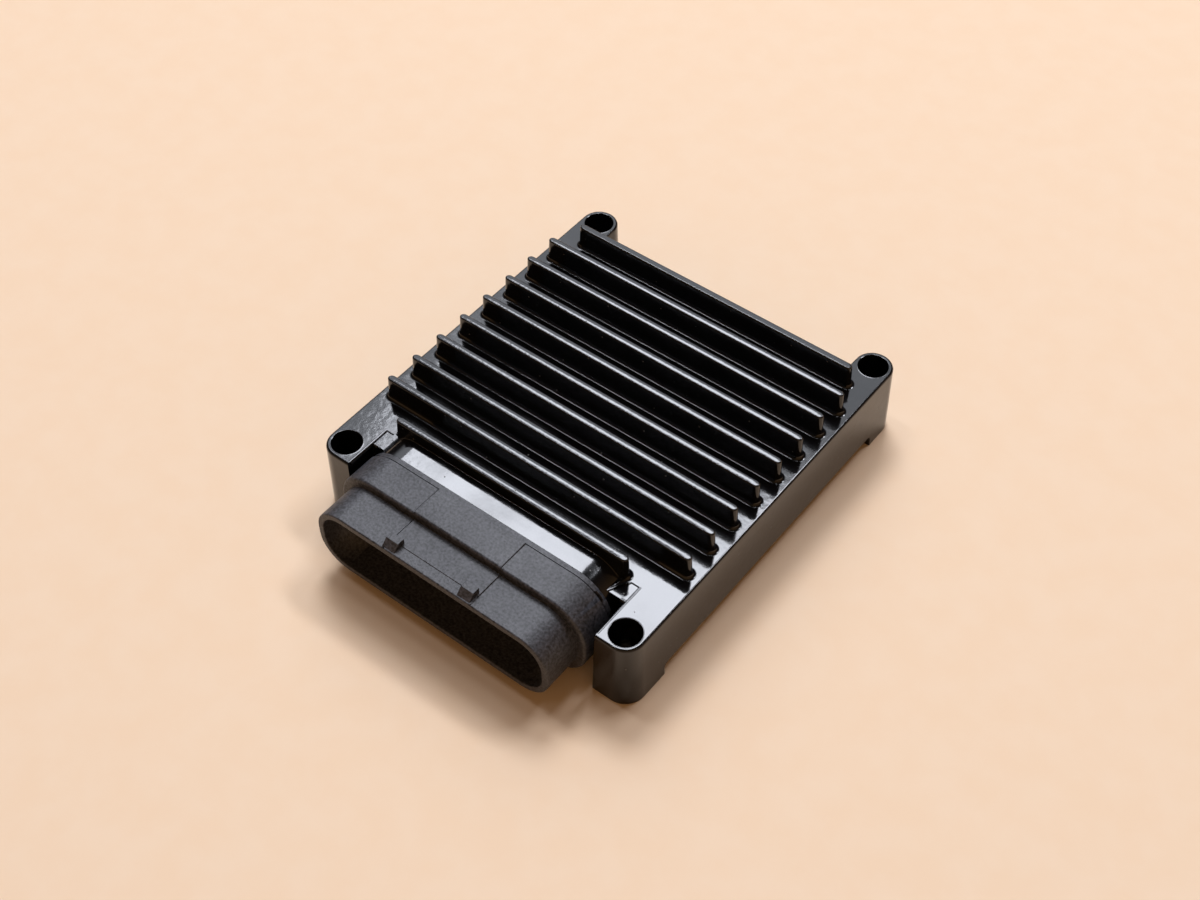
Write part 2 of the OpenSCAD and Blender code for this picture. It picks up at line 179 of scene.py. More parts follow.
# The footprint is cut out of one block: a gap between the rear ears, one for the connector, and the left
# front ear shorter than the right one. The walls lean outwards to the feet, to leave the die. The cutters
# reach past the casting, and a hair less than the full radius keeps two round corners from meeting.
over, far_x, far_front, far_rear, hair = 1, 60, -120, 20, 0.001
rim_round, foot_inset = 0.6, 1
right_front, left_front = bolt_holes[3][1] - ear_r, bolt_holes[2][1] - ear_r
housing = block((-side_x, right_front, 0), (side_x, ear_r, plate_z))
for gap in (
        ((-notch_x, rear_wall, -over), (notch_x, far_rear, plate_z + over)),
        ((-notch_x, far_front, -over), (notch_x, front_wall, plate_z + over)),
        ((-far_x, far_front, -over), (-notch_x + over, left_front, plate_z + over))):
    combine(housing, [block(*gap)], "DIFFERENCE")
round_edges(housing, ear_r - hair, 12, lambda a, b: upright(a, b) and a.y > 0)
round_edges(housing, ear_r, 12, lambda a, b: upright(a, b) and a.y < front_wall and abs(a.x) > hole_x)
for x, y in bolt_holes:
    spread(housing, lambda a, b: at_floor(a, b) and all(
        p.x * x > 0 and (p.y > -0.01 if y == 0 else p.y < y + 0.01) for p in (a, b)),
        (1 + lean / ear_r, 1 + lean / ear_r, 1), (x, y, 0))


def on_rim(a, b):
    """The plate's outer rim: the sides and the ears, without the rear wall and the connector's gap."""
    if min(a.z, b.z) < plate_z - 0.01:
        return False
    rear, front = max(a.y, b.y) < rear_wall + 0.01, max(a.y, b.y) < front_wall + 0.01
    return not (along_x(a, b) and rear and abs(a.x) < hole_x and min(a.y, b.y) > left_front + 0.01) and not (
        front and abs(a.x) < notch_x + 0.01 and abs(b.x) < notch_x + 0.01)


round_edges(housing, rim_round, 5, on_rim)
between_feet = block((-far_x, front_wall + foot_inset, -over), (far_x, rear_wall - foot_inset, foot_h))
round_edges(between_feet, foot_r, 6, lambda a, b: along_x(a, b) and a.z > 0)
combine(housing, [between_feet], "DIFFERENCE")

# The space under the cover is cut in two steps, because the ears' inner walls lean in at the rear.
under_rear, under_overlap, under_gap = rear_wall - 1.5, 0.5, 0.05
combine(housing, [block((-notch_x, collar_front, -over), (notch_x, under_rear, foot_h))], "DIFFERENCE")
rear_x = notch_x - lean - under_gap
combine(housing, [block((-rear_x, under_rear - under_overlap, -over), (rear_x, 0, foot_h))], "DIFFERENCE")

# Two small ledges lie beside the collar, and the foot of the short fin reaches out between them.
short_y, short_length = fin_rows[-1]
foot_half, foot_reach, foot_low, foot_high = 2.3, short_length / 2 + 1.4, 10, 40
short_foot = block((-foot_reach, short_y - foot_half, foot_low), (foot_reach, short_y + foot_half, foot_high))
round_edges(short_foot, foot_half - hair, 8, upright)
ledge_z, ledge_x, past_front, past_top = plate_z - 0.3, notch_x - 0.05, front_wall - 2, plate_z + 9
ledges = block((-ledge_x, past_front, ledge_z), (ledge_x, plate_front, past_top))
combine(ledges, [short_foot], "DIFFERENCE")
combine(housing, [ledges], "DIFFERENCE")


def oval(width, height, radius, back, front, segments=16):
    """A bar of rounded rectangular section on the connector axis."""
    bar = block(
        (connector_x - width / 2, front, connector_z - height / 2),
        (connector_x + width / 2, back, connector_z + height / 2))
    return round_edges(bar, radius, segments, along_y)


# The collar stands on the front wall, and its upper half runs back over the plate to the short fin.
collar_root, collar_under = front_wall + 1.8, ceiling_z + 0.6
collar = oval(collar_w, collar_h, collar_r, short_y, collar_front)
below_plate = block((-far_x, collar_root, -over), (far_x, short_y + over, collar_under))
combine(collar, [below_plate], "DIFFERENCE")
combine(housing, [collar], "UNION")

# Each fin tapers to its top, has round ends and edges, and rises to a low crown along the middle.
buried, ridge, crest_r, crown_end = 1.0, 0.1, 0.35, 2.4
fin_lean = (fin_foot - fin_top) / 2 * (buried + fin_top_z - plate_z) / (fin_top_z - plate_z)
fins = []
for y, length in fin_rows:
    half, reach, crown = fin_top / 2 + fin_lean, length / 2 + fin_lean, length / 2 - crown_end
    fin = block((-reach, y - half, plate_z - buried), (reach, y + half, fin_top_z - ridge))
    round_edges(fin, half - hair, 6, upright)
    taper = (length / 2 / reach, fin_top / 2 / half, 1)
    spread(fin, lambda a, b: min(a.z, b.z) > plate_z, taper, (0, y, fin_top_z))
    round_edges(fin, crest_r, 5, lambda a, b: min(a.z, b.z) > plate_z)
    score(fin, [((0, y, 0), (0, 1, 0)), ((crown, y, 0), (1, 0, 0)), ((-crown, y, 0), (1, 0, 0))])
    pick(fin, lambda a, b: along_x(a, b) and min(a.z, b.z) > plate_z and all(
        abs(p.y - y) < 0.01 and abs(p.x) < crown + 0.1 for p in (a, b)))
    bpy.ops.object.mode_set(mode="EDIT")
    bpy.ops.transform.translate(value=(0, 0, ridge * mm))
    bpy.ops.mesh.select_more()
    bpy.ops.mesh.quads_convert_to_tris()
    bpy.ops.object.mode_set(mode="OBJECT")
    fins.append(fin)

# Cuts across the plate keep the face round each fin and each hole simple.
fin_pairs, hole_cut_x = zip(fin_rows, fin_rows[1:-1]), 40.6
gap_cuts = [((0, (near + far) / 2, 0), (0, 1, 0)) for (near, _), (far, _) in fin_pairs]
score(housing, gap_cuts + [((x, 0, 0), (1, 0, 0)) for x in (-hole_cut_x, 0, hole_cut_x)])
combine(housing, fins, "UNION")

# The inside is open below for the board, with posts for the screws and a block over the power parts.
rabbet_x, rabbet_front, rabbet_rear, rabbet_r = 42.7, -84.7, -6.9, 3.0
cavity_x, cavity_rear, cavity_r, cavity_lap = 40.8, -8.8, 2.0, 0.2
heat_x, heat_front, heat_rear, heat_low, post_top = 27, -20.1, -11.1, 10, plate_z - 1
rabbet = block((-rabbet_x, rabbet_front, -over), (rabbet_x, rabbet_rear, shoulder_z))
cavity = block((-cavity_x, plate_front, shoulder_z - cavity_lap), (cavity_x, cavity_rear, ceiling_z))
for hollow, radius in ((rabbet, rabbet_r), (cavity, cavity_r)):
    round_edges(hollow, radius, 6, upright)
    combine(housing, [hollow], "DIFFERENCE")
posts = [rod(place, post_r, shoulder_z, post_top, sides=32) for place in cover_screws]
posts += [rod(place, post_r, board_top, post_top, sides=32) for place in board_screws]
posts.append(block((-heat_x, heat_front, heat_low), (heat_x, heat_rear, post_top)))
for post in posts:
    combine(housing, [post], "UNION")

# The paint draws up into thin beads along the edges of the two ledges and of the ears beside the collar.
bead_r, bead_rise, bead_in = 0.6, 0.035, 0.24
bead_start, bead_stop, bead_from_fin, bead_from_ear = 0.9, 0.1, 2, 0.1
for side, front in ((-1, left_front), (1, right_front)):
    beside, level = side * (notch_x + bead_in), plate_z + bead_rise - bead_r
    ledge_ends = sorted((side * (short_length / 2 + bead_from_fin), side * (notch_x - bead_from_ear)))
    ear_bead = rod((beside, level), bead_r, front + bead_start, plate_front + bead_stop, along="Y")
    combine(housing, [ear_bead], "UNION")
    ledge_level = ledge_z + bead_rise - bead_r
    ledge_bead = rod((front_wall + bead_in, ledge_level), bead_r, *ledge_ends, along="X")
    combine(housing, [ledge_bead], "UNION")


def cone(centre, low, low_r, high, high_r):
    """Adds an upright cone between two heights."""
    bpy.ops.object.select_all(action="DESELECT")
    bpy.ops.mesh.primitive_cone_add(
        vertices=64, radius1=low_r * mm, radius2=high_r * mm, depth=(high - low) * mm,
        location=[c * mm for c in (*centre, (low + high) / 2)])
    bpy.ops.object.transform_apply(location=True, rotation=True, scale=True)
    return bpy.context.object


# The paint draws up into a low crowned rim round each bolt hole: a flat cone stands on the plate, and a
# shallow countersink falls from its top into the hole.
rim_r, rim_rise, rim_slope, rim_base = 3.68, 0.045, 0.2, 0.03
sink_depth, sink_in, sink_over, sink_slope = 0.2, 0.5, 0.1, 0.3
combine(housing, [
    cone(place, plate_z - rim_base, rim_r + (rim_rise + rim_base) / rim_slope, plate_z + rim_rise, rim_r)
    for place in bolt_holes], "UNION")
combine(housing, [
    cone(place, plate_z - sink_depth, hole_r - sink_in, plate_z + rim_rise + sink_over,
         rim_r + sink_over / sink_slope)
    for place in bolt_holes], "DIFFERENCE")

# Holes: four for the bolts, blind ones for the screws of the cover and the board, two through the front wall
# for the header's screws, and a window in the collar for the header's body.
bolt_over, cover_hole_depth, board_hole_depth, header_screw_x = 2, 9, 6, 30.0
window, wall_inside, window_front, header_hole_front = (50.0, 12.6, 5.0), -81.8, -92.8, -93.8
header_screws = [(connector_x + x, connector_z) for x in (-header_screw_x, header_screw_x)]
holes = [rod(place, hole_r, -bolt_over, plate_z + bolt_over) for place in bolt_holes]
for places, level, depth in (
        (cover_screws, shoulder_z, cover_hole_depth), (board_screws, board_top, board_hole_depth)):
    holes += [rod(place, screw_hole_r, level - over, level + depth, sides=24) for place in places]
holes += [
    rod(place, screw_hole_r, header_hole_front, wall_inside, along="Y", sides=24) for place in header_screws]
holes.append(oval(*window, wall_inside, window_front, segments=8))
combine(housing, holes, "DIFFERENCE")


def finish_edges(piece, rounding, widest, segments):
    """Rounds each sharp edge by what a rule gives for its ends, stored as the edge's bevel weight, so
    that wide and narrow edges run into each other, and lets the flat faces set the shading."""
    bpy.ops.object.select_all(action="DESELECT")
    piece.select_set(True)
    bpy.context.view_layer.objects.active = piece
    bpy.context.tool_settings.mesh_select_mode = (False, True, False)
    bpy.ops.object.mode_set(mode="EDIT")
    bpy.ops.mesh.select_all(action="SELECT")
    bpy.ops.mesh.remove_doubles(threshold=0.003 * mm)
    bpy.ops.mesh.dissolve_degenerate(threshold=0.003 * mm)
    bpy.ops.mesh.delete_loose()
    bpy.ops.mesh.select_all(action="SELECT")
    bpy.ops.mesh.normals_make_consistent(inside=False)
    bpy.ops.mesh.select_all(action="DESELECT")
    bpy.ops.mesh.edges_select_sharp(sharpness=math.radians(30))
    bpy.ops.object.mode_set(mode="OBJECT")
    weights = piece.data.attributes.new("bevel_weight_edge", "FLOAT", "EDGE")
    for edge in piece.data.edges:
        if edge.select:
            ends = (piece.data.vertices[i].co / mm for i in edge.vertices)
            weights.data[edge.index].value = rounding(*ends) / widest
    edges = piece.modifiers.new("edges", "BEVEL")
    edges.limit_method = "WEIGHT"
    edges.width = widest * mm
    edges.segments = segments
    edges.use_clamp_overlap = False
    edges.loop_slide = False
    shading = piece.modifiers.new("shading", "WEIGHTED_NORMAL")
    shading.weight = 90
    bpy.ops.object.shade_smooth()
    for modifier in ("edges", "shading"):
        bpy.ops.object.modifier_apply(modifier=modifier)


# Edges that the cover, the board or the header hides stay sharp, and so do the ends of the paint beads. The
# fin tops are round already. Edges beside a bead are rounded less than the bead's own facets are wide.
hidden_x, hidden_front, hidden_rear, hidden_top = 42.9, -86.5, -6.2, ceiling_z + 0.9
header_half, header_low, header_high, ledge_inner = 32, 5, 17.8, 30
edge_round, bead_round, hole_round, root_round = 0.15, 0.03, 0.05, 0.9
hole_edge, root_y, root_x, touch = 0.6, 1.3, 0.4, 0.01
bead_ends = (left_front + bead_start, right_front + bead_start, plate_front + bead_stop)


def cast_rounding(a, b):
    """How far the die and the paint round an edge of the housing, in millimetres."""
    middle, low, high = (a + b) / 2, min(a.z, b.z), max(a.z, b.z)
    out_x = abs(middle.x)
    inside = out_x < hidden_x and hidden_front < middle.y < hidden_rear and low < hidden_top
    behind_header = middle.y < front_wall and out_x < header_half and header_low < low and high < header_high
    if inside or behind_header or low > fin_top_z - 1:
        return 0
    beside_ear = abs(out_x - notch_x) < bead_r and middle.y < plate_front + 2 * bead_stop
    if low > plate_z - 2 * bead_r and beside_ear:
        at_end = any(abs(middle.y - y) < 2 * touch for y in bead_ends)
        return 0 if low > plate_z - touch and at_end else bead_round
    for x, y in bolt_holes:
        reach = max(math.hypot(p.x - x, p.y - y) for p in (a, b))
        if low > plate_z - 0.5 and reach < hole_r + hole_edge:
            return hole_round
    on_ledge = front_wall - bead_r < middle.y < plate_front + 0.1 and ledge_inner < out_x < notch_x + 0.1
    if low > ledge_z - 2 * bead_r and on_ledge:
        return bead_round
    if low > plate_z - touch and high < plate_z + touch:
        for y, length in fin_rows:
            if abs(middle.y - y) < root_y and out_x < length / 2 + root_x:
                return root_round if middle.y > plate_front else edge_round
    return edge_round


finish_edges(housing, cast_rounding, root_round, 5)
housing.name = "housing_casting"


def linear(code):
    """Turns an sRGB hex colour into the linear colour that a shader takes."""
    parts = [int(code[i:i + 2], 16) / 255 for i in (1, 3, 5)]
    return [p / 12.92 if p <= 0.04045 else ((p + 0.055) / 1.055) ** 2.4 for p in parts] + [1]


def add(material, kind, inputs, **settings):
    """Adds a node to a material, with numbers set on its sockets and other nodes' outputs linked."""
    tree = material.node_tree
    made = tree.nodes.new("ShaderNode" + kind)
    for name, value in settings.items():
        setattr(made, name, value)
    for name, value in inputs.items():
        if isinstance(value, bpy.types.NodeSocket):
            tree.links.new(value, made.inputs[name])
        else:
            made.inputs[name].default_value = value
    return made


def per_mm(size):
    """Texture scale for a pattern whose cells measure so many millimetres."""
    return 1 / (size * mm)


def dress(piece, material, slot=None, *nodes):
    """Gives a piece its material and, where a slot is named, attaches it to the root body and hides the CAD
    nodes it stands for.
    """
    piece.data.materials.clear()
    piece.data.materials.append(material)
    if slot:
        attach(piece, "root")
        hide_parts(*nodes)


# Gloss black spray paint: nearly black, with a mirror-like film that ripples every millimetre or two,
# a satin stipple on the fin tops, cloudy handling marks on the walls and a few dull specks of dust.
gloss_black_paint = bpy.data.materials.new("gloss_black_paint")
gloss_black_paint.use_nodes = True
paint = gloss_black_paint.node_tree.nodes["Principled BSDF"]
place = add(gloss_black_paint, "TexCoord", {}).outputs["Object"]
height = add(gloss_black_paint, "SeparateXYZ", {"Vector": place}).outputs["Z"]
peel = add(gloss_black_paint, "TexNoise", {
    "Vector": place, "Scale": per_mm(1.7), "Detail": 3.0}).outputs["Fac"]
stipple = add(gloss_black_paint, "TexNoise", {
    "Vector": place, "Scale": per_mm(0.5), "Detail": 2.0}).outputs["Fac"]
cloud = add(gloss_black_paint, "TexNoise", {
    "Vector": place, "Scale": per_mm(14), "Detail": 5.0}).outputs["Fac"]
cells = add(gloss_black_paint, "TexVoronoi", {"Vector": place, "Scale": per_mm(2.4)})
fin_crest = add(gloss_black_paint, "MapRange", {
    "Value": height, "From Min": (fin_top_z - 0.6) * mm,
    "From Max": (fin_top_z - 0.2) * mm}).outputs["Result"]
speck_spot = add(gloss_black_paint, "MapRange", {
    "Value": cells.outputs["Distance"], "From Min": 0.09, "From Max": 0.05}).outputs["Result"]
speck_pick = add(gloss_black_paint, "SeparateColor", {"Color": cells.outputs["Color"]}).outputs["Red"]
some = add(gloss_black_paint, "Math", {0: speck_pick, 1: 0.6}, operation="GREATER_THAN").outputs["Value"]
speck = add(gloss_black_paint, "Math", {0: speck_spot, 1: some}, operation="MULTIPLY").outputs["Value"]
tone = add(gloss_black_paint, "Mix", {
    "Factor": speck, "A": linear("#09090b"), "B": linear("#5c5a57")}, data_type="RGBA").outputs["Result"]
handled = add(gloss_black_paint, "MapRange", {
    "Value": cloud, "From Min": 0.42, "From Max": 0.7, "To Min": 0.09, "To Max": 0.2}).outputs["Result"]
satin = add(gloss_black_paint, "Mix", {"Factor": fin_crest, "A": handled, "B": 0.13}).outputs["Result"]
sheen = add(gloss_black_paint, "Mix", {"Factor": speck, "A": satin, "B": 0.7}).outputs["Result"]
ripple = add(gloss_black_paint, "Bump", {
    "Height": peel, "Strength": 1.0, "Distance": 0.02 * mm}).outputs["Normal"]
grain = add(gloss_black_paint, "Math", {0: stipple, 1: fin_crest}, operation="MULTIPLY").outputs["Value"]
crest = add(gloss_black_paint, "Bump", {
    "Height": grain, "Strength": 1.0, "Distance": 0.022 * mm, "Normal": ripple}).outputs["Normal"]
for socket, source in (("Base Color", tone), ("Roughness", sheen), ("Normal", crest)):
    gloss_black_paint.node_tree.links.new(source, paint.inputs[socket])
dress(housing, gloss_black_paint, "black_paint", "housing")

# Connector header: one moulding of glass-filled nylon with an oval flange, an open shroud for the plug
# and two latch ramps. It is moulded in a spark-eroded die and screwed to the collar from inside.
# Each section is a width, a height and a corner radius.
flange_back, flange_front, shroud_front, web_front, body_back = -89.0, -98.8, -108.6, -95.0, -83.2
flange, lip, body = (68.2, 22.0, 9.6), (67.6, 21.4, 9.3), (49.6, 12.2, 4.8)
shroud_outside, socket = (64.2, 17.8, 7.6), (61.0, 14.6, 6.0)
lip_depth, lip_lap, flange_soft, shroud_soft = 1.2, 1.4, 0.7, 0.35
header = oval(*flange, flange_back - lip_depth, flange_front)
round_edges(header, flange_soft, 4, lambda a, b: max(a.y, b.y) < flange_front + 0.01)
shroud = oval(*shroud_outside, flange_front + 1, shroud_front)
round_edges(shroud, shroud_soft, 3, lambda a, b: max(a.y, b.y) < shroud_front + 0.01)
combine(header, [shroud], "UNION")
combine(header, [oval(*lip, flange_back, flange_back - lip_lap)], "UNION")
combine(header, [oval(*body, body_back, flange_back - 1, segments=8)], "UNION")

# A low panel runs over the flange and the shroud, lower at the rim, with a fine line along its left edge.
flange_top, shroud_top = connector_z + flange[1] / 2, connector_z + shroud_outside[1] / 2
panel_half, panel_rise, line_w, line_start, line_bite, line_top = 12.0, 0.3, 0.2, 0.8, 0.02, 0.1
panel_left, panel_right = connector_x - panel_half, connector_x + panel_half
for front, back, top, rise, radius in (
        (flange_front, flange_back - lip_depth, flange_top, panel_rise, flange_soft),
        (shroud_front + 2.8, flange_front + 0.5, shroud_top, panel_rise, 0.1),
        (shroud_front, shroud_front + 3.0, shroud_top, panel_rise / 2, shroud_soft)):
    panel = block((panel_left, front, top - 1), (panel_right, back, top + rise))
    round_edges(panel, radius, 4, lambda a, b: along_x(a, b) and a.z > top and a.y < front + 0.01)
    combine(header, [panel], "UNION")
    line = block(
        (panel_left - line_w, front + line_start, top - line_w),
        (panel_left + line_bite, back, top + line_top))
    combine(header, [line], "DIFFERENCE")

# Two latch ramps rise from the rim, each a block whose top is cut off along the slope.
latch_half, latch_rise, latch_heel, latch_tip = 1.7, 1.7, shroud_front + 3.7, shroud_front + 0.05
latch_left, latch_right, latch_sunk, latch_flat, latch_toe = 10.85, 9.85, 0.8, 0.7, 0.2
for x in (connector_x - latch_left, connector_x + latch_right):
    latch = block(
        (x - latch_half, latch_tip, shroud_top - latch_sunk),
        (x + latch_half, latch_heel, shroud_top + latch_rise))
    bpy.ops.object.mode_set(mode="EDIT")
    bpy.ops.mesh.select_all(action="SELECT")
    slope = Vector((0, latch_heel - latch_flat - latch_tip, latch_rise + latch_toe))
    bpy.ops.mesh.bisect(
        plane_co=(x * mm, latch_tip * mm, (shroud_top - latch_toe) * mm), plane_no=(0, -slope.z, slope.y),
        clear_outer=True, use_fill=True)
    bpy.ops.object.mode_set(mode="OBJECT")
    combine(header, [latch], "UNION")

# The socket, the joint line behind the flange, the groove for the seal, and the holes for the terminals
# and the screws are cut last.
combine(header, [oval(*socket, web_front, shroud_front - 1)], "DIFFERENCE")
joint_out, joint_front = (72.0, 26.0, 11.0), flange_back - 1.5
groove_out, groove_in = (56.2, 18.8, 8.0), (52.0, 14.6, 6.0)
joint_line = oval(*joint_out, flange_back - lip_depth, joint_front)
combine(joint_line, [oval(collar_w, collar_h, collar_r, flange_back, flange_back - 3)], "DIFFERENCE")
combine(header, [joint_line], "DIFFERENCE")
seal_groove = oval(*groove_out, flange_back + 1, flange_back - lip_depth, segments=12)
combine(seal_groove, [oval(*groove_in, flange_back + 2, flange_back - 3, segments=12)], "DIFFERENCE")
combine(header, [seal_groove], "DIFFERENCE")
columns, column_pitch, rows, row_pitch, row_rise, slot_half, slot_back = 12, 4.0, 3, 3.3, 1.4, 0.4, -82
terminal_x = [connector_x + (i - (columns - 1) / 2) * column_pitch for i in range(columns)]
terminal_z = [board_top + row_rise + j * row_pitch for j in range(rows)]
slots = [
    block((x - slot_half, web_front - 1, z - slot_half), (x + slot_half, slot_back, z + slot_half))
    for x in terminal_x for z in terminal_z]
screw_holes = [
    rod(place, screw_hole_r, web_front, flange_back + 1, along="Y", sides=24) for place in header_screws]
combine(header, slots + screw_holes, "DIFFERENCE")


rim_soft, panel_soft, mould_crisp, seated_x, seated_z = 0.25, 0.18, 0.05, 32, 9


def moulded_rounding(a, b):
    """Edge radii of the moulding: soft on the socket's rim, crisp on the panel and the ramps."""
    middle = (a + b) / 2
    inward = abs(middle.x - connector_x) < seated_x and abs(middle.z - connector_z) < seated_z
    if middle.y > web_front - 0.05 and inward:
        return 0
    if max(a.y, b.y) < shroud_front + 0.01:
        return rim_soft
    if along_y(a, b) and min(a.z, b.z) > shroud_top + 0.2:
        return panel_soft
    return mould_crisp


finish_edges(header, moulded_rounding, rim_soft, 3)
header.name = "header_moulding"

# Spark-eroded nylon: charcoal, matte, with a fine even grain that is drawn coarser than life so that it
# shows, slightly paler where glass fibre lies near the surface, and a few rub marks.
nylon = bpy.data.materials.new("spark_eroded_nylon")
nylon.use_nodes = True
shell = nylon.node_tree.nodes["Principled BSDF"]
place = add(nylon, "TexCoord", {}).outputs["Object"]
pores = add(nylon, "TexNoise", {"Vector": place, "Scale": per_mm(0.6), "Detail": 3.0}).outputs["Fac"]
flow = add(nylon, "TexNoise", {"Vector": place, "Scale": per_mm(9), "Detail": 4.0}).outputs["Fac"]
spread_out = add(nylon, "MapRange", {
    "Value": pores, "From Min": 0.3, "From Max": 0.7}).outputs["Result"]
tone = add(nylon, "Mix", {
    "Factor": spread_out, "A": linear("#060607"), "B": linear("#46464c")}, data_type="RGBA").outputs["Result"]
dull = add(nylon, "MapRange", {"Value": flow, "To Min": 0.44, "To Max": 0.58}).outputs["Result"]
erosion = add(nylon, "Bump", {"Height": pores, "Strength": 1.0, "Distance": 0.09 * mm}).outputs["Normal"]
for socket, source in (("Base Color", tone), ("Roughness", dull), ("Normal", erosion)):
    nylon.node_tree.links.new(source, shell.inputs[socket])
shell.inputs["Specular IOR Level"].default_value = 0.5
dress(header, nylon, "connector_plastic", "connector_header")

# Seal and screws of the connector: a ring of brick-red silicone lies in the header's groove, and two zinc
# plated screws pull the header against the collar. Both are bought parts, and the CAD solids stay.


def surface(name, dark, pale, grain, dull, relief=0.0, metal=0.0, stretch=(1, 1, 1)):
    """A material whose colour and roughness drift between two values over a grain of so many
    millimetres, with a fine relief. A stretch below 1 draws the grain out along that axis."""
    material = bpy.data.materials.new(name)
    material.use_nodes = True
    shader = material.node_tree.nodes["Principled BSDF"]
    place = add(material, "TexCoord", {}).outputs["Object"]
    drawn = add(material, "Mapping", {"Vector": place, "Scale": stretch}).outputs["Vector"]
    grains = add(material, "TexNoise", {
        "Vector": drawn, "Scale": per_mm(grain), "Detail": 3.0}).outputs["Fac"]
    level = add(material, "MapRange", {
        "Value": grains, "From Min": 0.35, "From Max": 0.65}).outputs["Result"]
    tone = add(material, "Mix", {
        "Factor": level, "A": linear(dark), "B": linear(pale)}, data_type="RGBA").outputs["Result"]
    rough = add(material, "MapRange", {
        "Value": level, "To Min": dull[0], "To Max": dull[1]}).outputs["Result"]
    bumps = add(material, "Bump", {
        "Height": grains, "Strength": 1.0, "Distance": relief * mm}).outputs["Normal"]
    for socket, source in (("Base Color", tone), ("Roughness", rough), ("Normal", bumps)):
        material.node_tree.links.new(source, shader.inputs[socket])
    shader.inputs["Metallic"].default_value = metal
    return material


def keep(node, material, edge, segments=2):
    """Keeps a CAD solid, breaks its sharp edges with live modifiers and gives it a material."""
    piece = frame["nodes"][node]
    weld = piece.modifiers.new("weld", "WELD")
    weld.merge_threshold = 0.005 * mm
    edges = piece.modifiers.new("edges", "BEVEL")
    edges.limit_method = "ANGLE"
    edges.angle_limit = math.radians(35)
    edges.width = edge * mm
    edges.segments = segments
    edges.use_clamp_overlap = False
    edges.loop_slide = False
    piece.modifiers.new("shading", "WEIGHTED_NORMAL")
    dress(piece, material)


# Brick-red silicone, smooth and slightly cloudy, and zinc plate, a bluish silver that dulls in patches.
red_silicone = surface("red_silicone", "#6b2d24", "#7f3d31", 3.0, (0.42, 0.58), relief=0.01)
zinc_plate = surface("zinc_plate", "#989ca2", "#bcbec0", 1.2, (0.2, 0.38), relief=0.004, metal=1.0)
keep("connector_seal", red_silicone, 0.2)
keep("header_screws", zinc_plate, 0.12)

# Terminals: 36 square brass wires, tinned, pressed through the header and bent down to the board, and the
# black polyester comb that holds their tails in line.
# Tin on brass looks warm grey, with the brass showing through in thin places.
tinned_brass = surface("tinned_brass", "#b39c6c", "#cfc8b6", 1.6, (0.24, 0.4), relief=0.003, metal=1.0)
black_polyester = surface("black_polyester", "#1b1b1d", "#29292b", 0.4, (0.48, 0.64), relief=0.012)
keep("terminal_pins", tinned_brass, 0.1)
keep("pin_aligner", black_polyester, 0.1)

# Circuit board: four layers of glass laminate under green solder resist, milled to shape.
# The resist is glossy, copper tracks show through it as paler lines, and the milled edge is bare laminate.
solder_resist = surface("solder_resist", "#0d4526", "#115230", 5.0, (0.22, 0.32), relief=0.004)
place = add(solder_resist, "TexCoord", {}).outputs["Object"]
height = add(solder_resist, "SeparateXYZ", {"Vector": place}).outputs["Z"]
board_middle, bare_half = board_top - 0.8, 0.74
tracks = add(solder_resist, "TexBrick", {
    "Vector": place, "Scale": per_mm(1), "Brick Width": 9.0, "Row Height": 2.4,
    "Mortar Size": 0.25}).outputs["Fac"]
from_middle = add(solder_resist, "Math", {
    0: height, 1: -board_middle * mm}, operation="ADD").outputs["Value"]
depth = add(solder_resist, "Math", {0: from_middle}, operation="ABSOLUTE").outputs["Value"]
bare = add(solder_resist, "Math", {0: depth, 1: bare_half * mm}, operation="LESS_THAN").outputs["Value"]
resin = solder_resist.node_tree.nodes["Principled BSDF"]
green = resin.inputs["Base Color"].links[0].from_socket
tracked = add(solder_resist, "Mix", {
    "Factor": tracks, "A": green, "B": linear("#1d6f40")}, data_type="RGBA").outputs["Result"]
milled = add(solder_resist, "Mix", {
    "Factor": bare, "A": tracked, "B": linear("#a3995f")}, data_type="RGBA").outputs["Result"]
solder_resist.node_tree.links.new(milled, resin.inputs["Base Color"])
keep("circuit_board", solder_resist, 0.06)

# Chips: the processor with its 48 tinned leads, the memory, the bus driver and the sensor input chip, all
# moulded in black epoxy and soldered flat to the board.
# Moulded epoxy is charcoal and dull from the die, and bright tin is smooth with soft cloudy patches.
moulded_epoxy = surface("moulded_epoxy", "#1c1c1e", "#2a2a2c", 0.3, (0.54, 0.7), relief=0.012)
bright_tin = surface("bright_tin", "#b2b5b8", "#cccecf", 0.9, (0.18, 0.34), relief=0.003, metal=1.0)
for chip in ("processor", "memory_chip", "bus_transceiver", "signal_conditioner"):
    keep(chip, moulded_epoxy, 0.15)
keep("processor_leads", bright_tin, 0.04)

# Clock crystal in its drawn tin can, three electrolytic capacitors in aluminium cans, a ferrite inductor
# and the surge clamp diode. All are bought parts that stand on the board.
# Drawn aluminium shows fine upright lines, and each can's top has a dark half-moon that marks its minus pole.
drawn_aluminium = surface(
    "drawn_aluminium", "#a6a8ab", "#c5c6c7", 0.3, (0.28, 0.42), relief=0.004, metal=1.0, stretch=(1, 1, 0.05))
place = add(drawn_aluminium, "TexCoord", {}).outputs["Object"]
across = add(drawn_aluminium, "SeparateXYZ", {"Vector": place})
can_x, can_top, mark_x = -30.0, board_top + 7.5, 1.6
marked = add(drawn_aluminium, "Math", {
    0: across.outputs["X"], 1: (can_x - mark_x) * mm}, operation="LESS_THAN").outputs["Value"]
on_top = add(drawn_aluminium, "Math", {
    0: across.outputs["Z"], 1: (can_top - 0.1) * mm}, operation="GREATER_THAN").outputs["Value"]
mark = add(drawn_aluminium, "Math", {0: marked, 1: on_top}, operation="MULTIPLY").outputs["Value"]
can_shader = drawn_aluminium.node_tree.nodes["Principled BSDF"]
